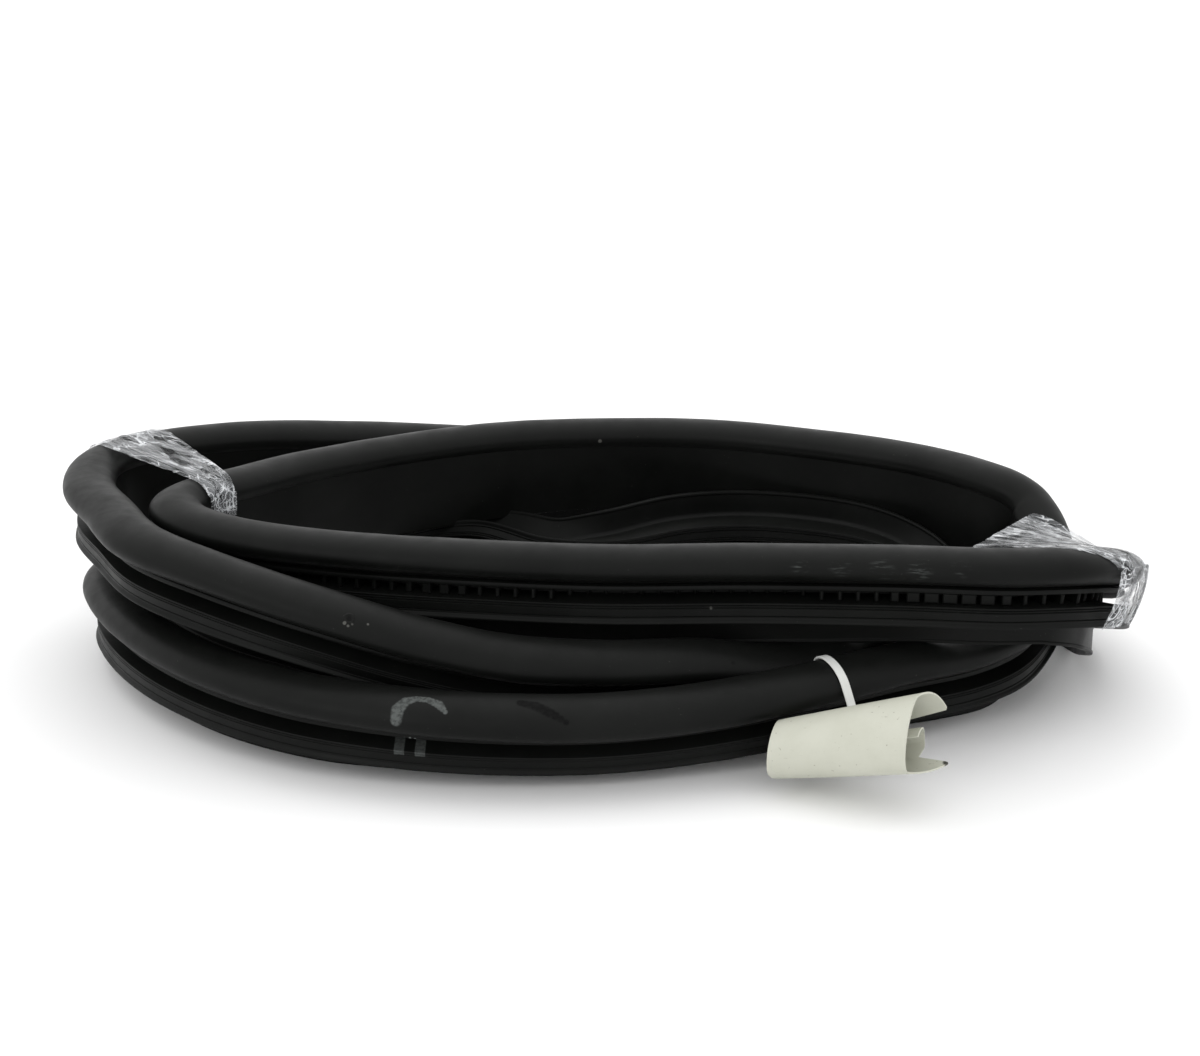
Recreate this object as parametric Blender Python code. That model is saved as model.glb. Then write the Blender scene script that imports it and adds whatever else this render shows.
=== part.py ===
"""Car door seal: one endless rubber seal laid in three turns, with its packing tape and tag."""
import math

import bmesh
import bpy
from mathutils import Vector
from mathutils.bvhtree import BVHTree

MM = 0.001

# Section of the seal, in millimetres, as it stands on a door frame: bulb on top, flap below.
BULB_WIDTH = 23.0
BULB_HEIGHT = 14.5
LEDGE_THICKNESS = 2.1
LEDGE_SETBACK = 7.0
LEDGE_ROOT = 3.0
NECK_GAP = 0.8
CHANNEL_OPENING = 4.8
CHANNEL_DEPTH = 11.0
FOOT_HEIGHT = 8.5
FOOT_SETBACK = 5.0
LIP_PROJECTION = 1.2
LIP_HEIGHT = 2.0
LIP_EDGE = 0.8
FLAP_LENGTH = 12.0
FLAP_THICKNESS = 2.6
FLAP_ROOT_WIDTH = 1.0
FLAP_ROOT_HEIGHT = 1.5
WEB_SETBACK = 2.0

# Lie of the three turns.
COIL_LENGTH = 462.0
END_TURN_LENGTH = 110.0
SIDE_GAP = 1.0
LAYER_GAP = 0.6

# Packing tape: the plan points of its corners, first the two of its near end and then the two of its
# far end, and how far each end hangs down the side of the rubber. Zero ends the tape on the rubber.
TAPE_THICKNESS = 0.4
TAPE_CLEARANCE = 0.6
TAPE_LOWEST = 50.0
TAPE_BESIDE = 2.0
TAPE_COLUMNS = 7
TAPE_ROWS = 30
LEFT_TAPE = {"near": ((-163, -30), (-154, -21)), "far": ((-264, 73), (-224, 99)), "drops": (15.0, 24.0)}
RIGHT_TAPE = {"near": ((158, -101), (184, -14)), "far": ((236, -104), (242, -28)), "drops": (0.0, 26.0)}

# Tie and tag. The card goes from its edge at the back over the top to the front, and below that into a
# smaller inner roll. It widens, rises and swings out to its right end, which has two pointed corners.
TIE_ALONG_CARD = 23.2
TIE_WIDTH = 3.6
TIE_THICKNESS = 1.0
CARD_THICKNESS = 0.7
CARD_WIDTH = 54.0
CARD_OUTER_RADIUS = 15.5
CARD_INNER_RADIUS = 7.5
CARD_START_LEFT = 212.0
CARD_START_RIGHT = 170.0
CARD_END = -262.0
CARD_STEPS = 30
CARD_COLUMNS = (0.0, 0.25, 0.5, 0.75, 1.0)
CARD_TAPER = 0.75
CARD_SWING = 22.0
CARD_RISE = 16.0
CARD_LEFT_END = 67.8
CARD_IN_FRONT = 3.0
CARD_OFF_FLOOR = 4.4
CARD_UPPER_CORNER = 9.0
CARD_LOWER_CORNER = 14.0
CARD_LOWER_CORNER_AT = -102.0
CARD_LOWER_CORNER_TURN = 45.0
TIE_TO_CARD = 5.0
PIECE_GAP = 0.35

# Places worked out from the section.
BULB_TO_CHANNEL = BULB_HEIGHT / 2 + NECK_GAP + LEDGE_THICKNESS
BULB_TO_LIP = BULB_TO_CHANNEL + CHANNEL_OPENING + FOOT_HEIGHT
BULB_TO_FLAP_END = BULB_TO_LIP + FLAP_LENGTH
SEAL_HEIGHT = BULB_HEIGHT / 2 + BULB_TO_FLAP_END
LANE = BULB_WIDTH + SIDE_GAP
LAYER = SEAL_HEIGHT + LAYER_GAP

# Route of the one endless strand: x in millimetres for the coil's own length, distance from the
# middle in lanes one strand wide, height in layers above the floor, and roll in degrees. A roll of
# zero has the bulb on top and the channel facing out, and a negative one leans the bulb outward.
ROUTE_REACH = 231.0
ROUTE_TURN = 110.0
FRONT_CROSSING = [
    (-207, -1.65, 1.0, 0), (-186, -3.1, 1.0, -4), (-155, -4.03, 0.9, -2), (-116, -4.66, 0.75, -8),
    (-77, -4.76, 0.52, -15), (-38, -4.7, 0.34, -20), (0, -4.58, 0.24, -18), (40, -4.3, 0.18, -16),
    (62, -4.05, 0.06, -14), (82, -3.7, 0.0, -10), (104, -3.3, 0.0, 4), (126, -2.75, 0.0, 26),
]
TWIST_AT_RIGHT = [(143, -2.0, 0.04, 60), (148, -1.0, 0.14, 100), (143, 0.15, 0.24, 140)]
BACK_TURNED_OVER = [
    (130, 1.15, 0.28, 166), (108, 2.0, 0.28, 178), (70, 2.45, 0.28, 180), (38, 2.2, 0.28, 179),
    (5, 1.65, 0.22, 170), (-25, 1.8, 0.18, 150),
]
TWIST_AT_LEFT = [(-60, 2.55, 0.25, 130), (-100, 2.8, 0.18, 98), (-140, 2.2, 0.03, 60), (-176, 1.7, 0.0, 25)]
LEFT_LOWER_TURN = [(-204, 1.3, 0.0, 6), (-219, 0.2, 0.0, 0), (-212, -1.1, 0.0, 0)]
FRONT_LOWER = [
    (-188, -2.8, 0.0, 0), (-156, -4.15, 0.0, -4), (-118, -5.12, 0.0, -9), (-77, -5.62, 0.0, -14),
    (-38, -5.78, 0.0, -18), (0, -5.7, 0.0, -20), (40, -5.35, 0.01, -19), (80, -4.85, 0.045, -15),
    (120, -4.07, 0.045, -10), (150, -3.42, 0.01, -6), (170, -2.8, 0.01, 0),
]
RIGHT_INNER_TURN = [(184, -2.0, 0.08, 0), (193, -1.25, 0.24, 0), (195, -0.35, 0.52, 0), (189, 0.4, 0.77, 0)]
BACK_UPPER = [
    (178, 0.8, 0.9, 0), (146, 2.1, 0.92, 0), (96, 3.15, 0.93, 0), (48, 3.78, 0.93, 0), (0, 3.83, 0.93, 0),
    (-48, 3.55, 0.93, 0), (-94, 2.67, 0.93, 0), (-137, 1.35, 0.95, 0), (-160, 0.2, 0.98, 0),
]
LEFT_TIGHT_TURN = [(-175, -0.55, 1.0, 0), (-181, -1.3, 1.0, 0), (-172, -2.0, 0.98, 0)]
FRONT_UPPER = [
    (-147, -2.65, 0.95, 0), (-109, -3.2, 0.94, 0), (-60, -3.55, 0.93, 0), (0, -3.75, 0.91, 0),
    (60, -3.95, 0.96, 0), (119, -4.2, 0.99, 0), (158, -4.4, 1.0, 0), (184, -4.25, 0.98, 0),
]
RIGHT_OUTER_TURN = [(203, -3.6, 0.84, 0), (213, -2.7, 0.62, 0), (219, -1.4, 0.3, 0), (221, 0.0, 0.03, 0)]
BACK_RISING = [
    (211, 1.4, 0.0, 0), (188, 2.75, 0.0, 0), (150, 3.9, 0.02, 0), (105, 4.6, 0.15, 0), (55, 4.9, 0.38, 0),
    (-20, 4.85, 0.6, 0), (-74, 4.35, 0.79, -6), (-122, 3.95, 0.88, 0), (-168, 3.5, 0.95, 0),
]
LEFT_OUTER_TURN = [(-207, 2.65, 0.98, 0), (-227, 1.5, 1.0, 0), (-225, -0.1, 1.0, 0)]
ROUTE = (
    FRONT_CROSSING + TWIST_AT_RIGHT + BACK_TURNED_OVER + TWIST_AT_LEFT + LEFT_LOWER_TURN
    + FRONT_LOWER + RIGHT_INNER_TURN + BACK_UPPER + LEFT_TIGHT_TURN + FRONT_UPPER
    + RIGHT_OUTER_TURN + BACK_RISING + LEFT_OUTER_TURN
)

ROUTE_STEPS = 12
STATION_SPACING = 26.0
STATION_TURN = 14.0
BULB_STEPS = 11

RUBBER = ("black_rubber", (0.018, 0.019, 0.018), 0.45)
CLEAR_TAPE = ("clear_tape", (0.55, 0.56, 0.56), 0.25)
CREAM_CARD = ("cream_card", (0.72, 0.71, 0.62), 0.7)
WHITE_NYLON = ("white_nylon", (0.80, 0.80, 0.78), 0.4)


def clear_scene():
    for obj in list(bpy.data.objects):
        bpy.data.objects.remove(obj, do_unlink=True)


def make_material(finish):
    name, color, roughness = finish
    material = bpy.data.materials.new(name)
    material.use_nodes = True
    shader = material.node_tree.nodes["Principled BSDF"]
    shader.inputs["Base Color"].default_value = (*color, 1.0)
    shader.inputs["Roughness"].default_value = roughness
    shader.inputs["Metallic"].default_value = 0.0
    return material


def add_solid(name, points, faces, finish):
    """A mesh object with its origin in the middle of its own footprint."""
    low = [min(point[axis] for point in points) for axis in range(3)]
    high = [max(point[axis] for point in points) for axis in range(3)]
    origin = Vector(((low[0] + high[0]) / 2, (low[1] + high[1]) / 2, low[2]))
    mesh = bpy.data.meshes.new(name)
    mesh.from_pydata([(Vector(point) - origin) * MM for point in points], [], faces)
    solid = bmesh.new()
    solid.from_mesh(mesh)
    bmesh.ops.triangulate(solid, faces=solid.faces)
    bmesh.ops.recalc_face_normals(solid, faces=solid.faces)
    solid.to_mesh(mesh)
    solid.free()
    mesh.materials.append(make_material(finish))
    obj = bpy.data.objects.new(name, mesh)
    obj.location = origin * MM
    obj.parent = bpy.data.objects["coil"]
    bpy.context.scene.collection.objects.link(obj)
    return obj


def seal_section():
    """Outline of the section as (outward, upward) points, measured from the middle of its height."""
    inner = -BULB_WIDTH / 2 + WEB_SETBACK
    half_width = BULB_WIDTH / 2
    ledge = half_width - LEDGE_SETBACK
    foot = half_width - FOOT_SETBACK
    flap_face = inner + FLAP_THICKNESS
    channel_top = -BULB_TO_CHANNEL
    channel_back = ledge - CHANNEL_DEPTH
    channel_bottom = channel_top - CHANNEL_OPENING
    outline = [(inner, -BULB_TO_FLAP_END)]
    first = math.pi + math.acos(-inner / half_width)
    last = -math.radians(58)
    for step in range(BULB_STEPS + 1):
        angle = first + (last - first) * step / BULB_STEPS
        outline.append((half_width * math.cos(angle), BULB_HEIGHT / 2 * math.sin(angle)))
    outline += [
        (ledge - LEDGE_ROOT, channel_top + LEDGE_THICKNESS + NECK_GAP * 0.6),
        (ledge, channel_top + LEDGE_THICKNESS),
        (ledge, channel_top),
        (channel_back, channel_top),
        (channel_back, channel_bottom),
        (foot, channel_bottom),
        (foot, -BULB_TO_LIP + LIP_HEIGHT),
        (foot + LIP_PROJECTION, -BULB_TO_LIP + LIP_EDGE),
        (foot + LIP_PROJECTION, -BULB_TO_LIP),
        (flap_face + FLAP_ROOT_WIDTH, -BULB_TO_LIP),
        (flap_face, -BULB_TO_LIP - FLAP_ROOT_HEIGHT),
        (flap_face, -BULB_TO_FLAP_END),
    ]
    to_middle = SEAL_HEIGHT / 2 - BULB_HEIGHT / 2
    return [(out, up + to_middle) for out, up in outline]


def rest_height(roll):
    """Height of the section's middle above a floor that the rolled section just touches."""
    angle = math.radians(roll)
    return max(-(out * math.sin(angle) + up * math.cos(angle)) for out, up in seal_section())


def along_coil(x):
    """A place along the coil, where the straight runs and the end turns each get their own length."""
    route_run = ROUTE_REACH - ROUTE_TURN
    run = COIL_LENGTH / 2 - END_TURN_LENGTH
    on_run = min(abs(x), route_run) * run / route_run
    on_turn = max(abs(x) - route_run, 0) * END_TURN_LENGTH / ROUTE_TURN
    return math.copysign(on_run + on_turn, x)


def route_point(x, lanes, layers, roll):
    """A route point in millimetres, with its roll."""
    return Vector((along_coil(x), lanes * LANE, rest_height(roll) + layers * LAYER, roll))


def smooth_loop(points, steps):
    """Points along a closed smooth curve through the given ones."""
    count = len(points)
    lengths = [(points[(i + 1) % count] - points[i]).xy.length for i in range(count)]
    slopes = []
    for i in range(count):
        reach = lengths[i - 1] + lengths[i]
        slopes.append((points[(i + 1) % count] - points[i - 1]) / reach)
    curve = []
    for i in range(count):
        start, end = points[i], points[(i + 1) % count]
        for step in range(steps):
            t = step / steps
            curve.append(
                start * (2 * t**3 - 3 * t**2 + 1)
                + slopes[i] * lengths[i] * (t**3 - 2 * t**2 + t)
                + end * (3 * t**2 - 2 * t**3)
                + slopes[(i + 1) % count] * lengths[i] * (t**3 - t**2)
            )
    return curve


def strand_frames():
    """Every place along the strand: its middle, and its outward and upward directions."""
    curve = smooth_loop([route_point(*point) for point in ROUTE], ROUTE_STEPS)
    places = [Vector((at.x, at.y, max(at.z, rest_height(at.w)))) for at in curve]
    frames = []
    for i, (middle, place) in enumerate(zip(places, curve)):
        ahead = (places[(i + 1) % len(places)] - places[i - 1]).normalized()
        level_out = ahead.cross(Vector((0, 0, 1))).normalized()
        level_up = level_out.cross(ahead)
        roll = math.radians(place.w)
        out = level_out * math.cos(roll) + level_up * math.sin(roll)
        up = level_up * math.cos(roll) - level_out * math.sin(roll)
        frames.append((middle, out, up))
    return frames


def chosen_stations(frames, always):
    """Stations that lie close together where the strand bends or twists, and apart where it is straight."""
    chosen = [frames[0]]
    due = 0.0
    for before, here in zip(frames, frames[1:]):
        bend = math.degrees(max(before[1].angle(here[1]), before[2].angle(here[2])))
        due += (here[0] - before[0]).length / STATION_SPACING + bend / STATION_TURN
        if due >= 1.0 or here is always:
            chosen.append(here)
            due = 0.0
    return chosen


def sweep(stations, outline):
    """Points and faces of the closed loop that the outline makes along the stations."""
    points = [middle + out * o + up * u for middle, out, up in stations for o, u in outline]
    size = len(outline)
    total = len(points)
    faces = []
    for ring in range(len(stations)):
        for k in range(size):
            a = ring * size + k
            b = ring * size + (k + 1) % size
            faces.append((a, b, (b + size) % total, (a + size) % total))
    return points, faces


def make_seal(stations):
    """The rubber itself, and its surface in millimetres for the tape to lie on."""
    points, faces = sweep(stations, seal_section())
    add_solid("door_seal", points, faces, RUBBER)
    return BVHTree.FromPolygons(points, faces)


def rubber_top(rubber, x, y):
    """Height of the rubber's top over a point of the floor, or None where the tape meets none."""
    spot = rubber.ray_cast(Vector((x, y, 3 * SEAL_HEIGHT)), Vector((0, 0, -1)))[0]
    return spot.z if spot is not None and spot.z > TAPE_LOWEST else None


def taut_line(points):
    """The upper outline of (distance, height) points, as a tape pulled tight over them."""
    line = []
    for point in sorted(points):
        while len(line) > 1 and slope(line[-2], line[-1]) <= slope(line[-1], point):
            line.pop()
        line.append(point)
    return line


def slope(first, second):
    return (second[1] - first[1]) / (second[0] - first[0])


def along_line(line, count):
    """Points at even distances along a line of (distance, height) points."""
    steps = [math.dist(first, second) for first, second in zip(line, line[1:])]
    total = sum(steps)
    even = []
    for k in range(count):
        left = total * k / (count - 1)
        i = 0
        while i < len(steps) - 1 and left > steps[i]:
            left -= steps[i]
            i += 1
        share = min(left / steps[i], 1.0)
        first, second = line[i], line[i + 1]
        even.append((first[0] + (second[0] - first[0]) * share, first[1] + (second[1] - first[1]) * share))
    return even


def hanging_end(last, beside, drop):
    """Points of the tape's end, which turns down beside the rubber."""
    return [(last[0] + beside, last[1] - drop * share) for share in (0.0, 0.33, 0.66, 1.0)]


def tape_place(side, share):
    """A point between the two corners of one side of the tape, which keeps to its end of the coil."""
    corners = [Vector((along_coil(x), y)) for x, y in side]
    return corners[0].lerp(corners[1], share)


def tape_column(rubber, tape, share):
    """One line of the tape, from its near end, over the bulbs, to its far end."""
    start = tape_place(tape["near"], share)
    end = tape_place(tape["far"], share)
    run = (end - start).normalized()
    heights = {}
    steps = range(int((end - start).length) + 1)
    for step in steps:
        at = start + run * step
        top = rubber_top(rubber, at.x, at.y)
        if top is not None:
            for beside in {step - 2, step, step + 2}.intersection(steps):
                heights[beside] = max(heights.get(beside, 0), top + TAPE_CLEARANCE + TAPE_THICKNESS)
    line = along_line(taut_line(heights.items()), TAPE_ROWS)
    near_drop, far_drop = tape["drops"]
    if near_drop:
        line = hanging_end(line[0], -TAPE_BESIDE, near_drop)[::-1] + line
    if far_drop:
        line += hanging_end(line[-1], TAPE_BESIDE, far_drop)
    return [Vector((*(start + run * distance), height)) for distance, height in line]


def thin_sheet(grid, thickness):
    """Points and faces of a sheet of even thickness below a grid of points."""
    rows, columns = len(grid), len(grid[0])
    below = []
    for i, row in enumerate(grid):
        for j, point in enumerate(row):
            down = grid[min(i + 1, rows - 1)][j] - grid[max(i - 1, 0)][j]
            across = row[min(j + 1, columns - 1)] - row[max(j - 1, 0)]
            below.append(point - down.cross(across).normalized() * thickness)
    points = [point for row in grid for point in row] + below
    half = rows * columns
    faces = []
    for i in range(rows - 1):
        for j in range(columns - 1):
            a = i * columns + j
            quad = (a, a + 1, a + columns + 1, a + columns)
            faces += [quad, tuple(k + half for k in reversed(quad))]
    rim = [j for j in range(columns)] + [i * columns + columns - 1 for i in range(1, rows)]
    rim += [(rows - 1) * columns + j for j in range(columns - 2, -1, -1)]
    rim += [i * columns for i in range(rows - 2, 0, -1)]
    for k, a in enumerate(rim):
        b = rim[(k + 1) % len(rim)]
        faces.append((b, a, a + half, b + half))
    return points, faces


def make_tape(name, rubber, tape):
    shares = [k / (TAPE_COLUMNS - 1) for k in range(TAPE_COLUMNS)]
    grid = [tape_column(rubber, tape, share) for share in shares]
    points, faces = thin_sheet(grid, TAPE_THICKNESS)
    return add_solid(name, points, faces, CLEAR_TAPE)


def hull(points):
    """Convex outline round flat points, in order."""
    def half(ordered):
        line = []
        for p in ordered:
            while len(line) > 1 and cross(line[-2], line[-1], p) <= 0:
                line.pop()
            line.append(p)
        return line[:-1]
    ordered = sorted(set(points))
    return half(ordered) + half(ordered[::-1])


def cross(a, b, c):
    return (b[0] - a[0]) * (c[1] - a[1]) - (b[1] - a[1]) * (c[0] - a[0])


def grown(outline, gap):
    """The outline moved outward by a gap, corner by corner."""
    moved = []
    for k, point in enumerate(outline):
        before, after = Vector(outline[k - 1]), Vector(outline[(k + 1) % len(outline)])
        here = Vector(point)
        first = (here - before).normalized()
        second = (after - here).normalized()
        corner = (Vector((first.y, -first.x)) + Vector((second.y, -second.x))).normalized()
        moved.append(tuple(here + corner * gap / max(corner.dot(Vector((first.y, -first.x))), 0.5)))
    return moved


def front_station(frames, x):
    """The place on the lower front strand that is nearest to a place along the coil."""
    first = ROUTE.index(FRONT_LOWER[0]) * ROUTE_STEPS
    front = frames[first:first + len(FRONT_LOWER) * ROUTE_STEPS]
    return min(front, key=lambda frame: abs(frame[0].x - x))


def tag_axis(frames):
    """The ends of the line that the card is rolled round, and the direction out of it to the front."""
    card_start = along_coil(CARD_LEFT_END)
    middle, out, up = front_station(frames, card_start)
    bulb_front = middle + up * (SEAL_HEIGHT / 2 - BULB_HEIGHT / 2) + out * (BULB_WIDTH / 2)
    swing = math.radians(CARD_SWING)
    along = Vector((math.cos(swing), -math.sin(swing), 0))
    forward = Vector((-math.sin(swing), -math.cos(swing), 0))
    height = CARD_OUTER_RADIUS * CARD_TAPER + CARD_OFF_FLOOR
    left = Vector((card_start, bulb_front.y - CARD_IN_FRONT, height))
    right = left + along * CARD_WIDTH + Vector((0, 0, CARD_RISE))
    return left, right, forward


def card_spoke(angle, forward):
    """Where the card is at its right end, from the middle of its outer turn."""
    curled = min(max((-90 - angle) / 90, 0.0), 1.0)
    radius = CARD_OUTER_RADIUS + (CARD_INNER_RADIUS - CARD_OUTER_RADIUS) * curled
    lowered = CARD_OUTER_RADIUS - radius
    turn = math.radians(angle)
    return forward * (radius * math.cos(turn)) + Vector((0, 0, radius * math.sin(turn) - lowered))


def card_angle(share, done):
    """The angle reached when a part of the card's turn is done, at a share of its width."""
    start = CARD_START_LEFT + (CARD_START_RIGHT - CARD_START_LEFT) * share
    return start + (CARD_END - start) * done


def card_corner(angle):
    """How far the card reaches past its right end: at its back edge, and again below its front."""
    upper = 1 - (CARD_START_RIGHT - angle) / (CARD_START_RIGHT - 90)
    lower = 1 - abs(angle - CARD_LOWER_CORNER_AT) / CARD_LOWER_CORNER_TURN
    return max(CARD_UPPER_CORNER * upper, CARD_LOWER_CORNER * lower, 0.0)


def make_tie(station, frames):
    """A closed strap round the strand that reaches forward to the back edge of the card."""
    middle, out, up = station
    along = up.cross(out)
    left, right, forward = tag_axis(frames)
    left_edge = left + card_spoke(CARD_START_LEFT, forward) * CARD_TAPER
    right_edge = right + card_spoke(CARD_START_RIGHT, forward)
    share = (middle - left_edge).dot(along) / (right_edge - left_edge).dot(along)
    spoke = card_spoke(card_angle(share, 0), forward)
    hook = left.lerp(right, share) + spoke * (CARD_TAPER + (1 - CARD_TAPER) * share) - middle
    hook += spoke.normalized() * (TIE_THICKNESS + PIECE_GAP + TIE_TO_CARD)
    hook_point = (hook.dot(out), hook.dot(up))
    inner = grown(hull(seal_section() + [hook_point]), PIECE_GAP)
    outer = grown(inner, TIE_THICKNESS)
    half = along * (TIE_WIDTH / 2)
    points = [middle + out * o + up * u + half * s for ring in (inner, outer) for s in (-1, 1) for o, u in ring]
    size = len(inner)
    faces = []
    for k in range(size):
        n = (k + 1) % size
        faces += [(k, n, n + size, k + size), (k + 2 * size, k + 3 * size, n + 3 * size, n + 2 * size)]
        faces += [(k, k + 2 * size, n + 2 * size, n), (k + size, n + size, n + 3 * size, k + 3 * size)]
    return add_solid("tag_tie", points, faces, WHITE_NYLON)


def make_tag(frames):
    """The curled card, which widens from its left end to its right."""
    left, right, forward = tag_axis(frames)
    along = (right - left).normalized()
    grid = []
    for k in range(CARD_STEPS + 1):
        line = []
        for share in CARD_COLUMNS:
            angle = card_angle(share, k / CARD_STEPS)
            spoke = card_spoke(angle, forward) * (CARD_TAPER + (1 - CARD_TAPER) * share)
            reach = card_corner(angle) * max(2 * share - 1, 0)
            line.append(left.lerp(right, share) + spoke + along * reach)
        grid.append(line)
    points, faces = thin_sheet(grid, CARD_THICKNESS)
    return add_solid("tag", points, faces, CREAM_CARD)


def stand_on_origin():
    """Move the whole coil so that the middle of its footprint is the origin."""
    corners = []
    for obj in bpy.data.objects["coil"].children:
        corners += [obj.location + Vector(corner) for corner in obj.bound_box]
    low = [min(corner[axis] for corner in corners) for axis in range(3)]
    high = [max(corner[axis] for corner in corners) for axis in range(3)]
    bpy.data.objects["coil"].location = (-(low[0] + high[0]) / 2, -(low[1] + high[1]) / 2, -low[2])


def main():
    clear_scene()
    coil = bpy.data.objects.new("coil", None)
    bpy.context.scene.collection.objects.link(coil)
    frames = strand_frames()
    tie_station = front_station(frames, along_coil(CARD_LEFT_END) + TIE_ALONG_CARD)
    rubber = make_seal(chosen_stations(frames, tie_station))
    make_tape("tape_left", rubber, LEFT_TAPE)
    make_tape("tape_right", rubber, RIGHT_TAPE)
    make_tie(tie_station, frames)
    make_tag(frames)
    stand_on_origin()


main()
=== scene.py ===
# %% [markdown]
# # A car door seal, laid up in three turns
# The object is one endless strip of black rubber that has been laid in a flat oval of three turns. Two
# lengths of clear packing tape hold the turns, and a curled card tag hangs from a white tie. The packed
# CAD model is the fixed frame. Everything below is built round it, in the same place and in metres.

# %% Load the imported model
import math

import bmesh
import bpy
import numpy as np
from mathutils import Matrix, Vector, noise
from mathutils.bvhtree import BVHTree


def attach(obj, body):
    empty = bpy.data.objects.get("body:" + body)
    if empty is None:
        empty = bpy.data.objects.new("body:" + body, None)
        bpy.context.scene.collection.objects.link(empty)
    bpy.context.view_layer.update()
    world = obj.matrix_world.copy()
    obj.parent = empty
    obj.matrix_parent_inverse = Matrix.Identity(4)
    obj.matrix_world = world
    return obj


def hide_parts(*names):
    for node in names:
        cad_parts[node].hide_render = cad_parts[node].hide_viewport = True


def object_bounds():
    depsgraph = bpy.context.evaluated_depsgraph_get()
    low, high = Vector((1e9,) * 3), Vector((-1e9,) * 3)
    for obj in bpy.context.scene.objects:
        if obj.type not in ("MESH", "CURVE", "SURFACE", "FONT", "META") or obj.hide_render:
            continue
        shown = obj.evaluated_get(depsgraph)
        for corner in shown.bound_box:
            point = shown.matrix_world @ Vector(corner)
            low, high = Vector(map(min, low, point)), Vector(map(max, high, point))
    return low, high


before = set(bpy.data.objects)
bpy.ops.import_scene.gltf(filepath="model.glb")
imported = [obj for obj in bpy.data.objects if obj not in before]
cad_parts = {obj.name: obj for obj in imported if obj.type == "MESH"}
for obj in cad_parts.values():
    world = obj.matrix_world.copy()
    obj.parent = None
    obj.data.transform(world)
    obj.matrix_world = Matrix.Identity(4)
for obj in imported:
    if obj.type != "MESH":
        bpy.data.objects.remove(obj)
cad_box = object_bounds()
print("pieces in the packed model:", sorted(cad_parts))

# %% [markdown]
# ## The section of the rubber
# Cut across, the strip shows a round bulb that the door presses on, a thin ledge, an open channel that
# grips the body flange, a ribbed foot with a lip, and a long flap. The sizes are in millimetres and are
# the same as those of the CAD model, so the finer rubber takes exactly its place.

# %% Sizes of the section
MM = 0.001
BULB_WIDTH = 23.0
BULB_HEIGHT = 14.5
LEDGE_THICKNESS = 2.1
LEDGE_SETBACK = 7.0
NECK_GAP = 0.8
CHANNEL_OPENING = 4.8
CHANNEL_DEPTH = 11.0
FOOT_HEIGHT = 8.5
FOOT_SETBACK = 5.0
LIP_PROJECTION = 1.2
FLAP_LENGTH = 12.0
FLAP_THICKNESS = 2.6
WEB_SETBACK = 2.0
SIDE_GAP = 1.0
LAYER_GAP = 0.6

BULB_TO_CHANNEL = BULB_HEIGHT / 2 + NECK_GAP + LEDGE_THICKNESS
BULB_TO_LIP = BULB_TO_CHANNEL + CHANNEL_OPENING + FOOT_HEIGHT
BULB_TO_FLAP_END = BULB_TO_LIP + FLAP_LENGTH
SEAL_HEIGHT = BULB_HEIGHT / 2 + BULB_TO_FLAP_END
TO_MIDDLE = SEAL_HEIGHT / 2 - BULB_HEIGHT / 2
LANE = BULB_WIDTH + SIDE_GAP
LAYER = SEAL_HEIGHT + LAYER_GAP
INNER = -BULB_WIDTH / 2 + WEB_SETBACK
LEDGE = BULB_WIDTH / 2 - LEDGE_SETBACK
FOOT = BULB_WIDTH / 2 - FOOT_SETBACK
FLAP_FACE = INNER + FLAP_THICKNESS
print("section height in mm:", round(SEAL_HEIGHT, 2))

# %% [markdown]
# A moulded edge is never sharp. Each corner of the outline is written as a place and a radius, and a
# small helper turns it into three points of a curve. The bulb is an ellipse of many points.

# %% The outline of the section
BULB_POINTS = 27
RIDGES_BELOW_CHANNEL = (1.0, 2.0, 5.6)
RIDGE_DEPTH = 0.5


def rounded(corners):
    """The closed outline of (out, up, radius) corners, with a short curve at each that has a radius."""
    line = []
    for k, (out, up, radius) in enumerate(corners):
        here = Vector((out, up))
        if radius == 0:
            line.append(here)
            continue
        before = Vector(corners[k - 1][:2]) - here
        after = Vector(corners[(k + 1) % len(corners)][:2]) - here
        start = here + before.normalized() * min(radius, before.length * 0.45)
        end = here + after.normalized() * min(radius, after.length * 0.45)
        line += [start, (start + end + here * 2) / 4, end]
    return [(point.x, point.y + TO_MIDDLE) for point in line]


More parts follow.
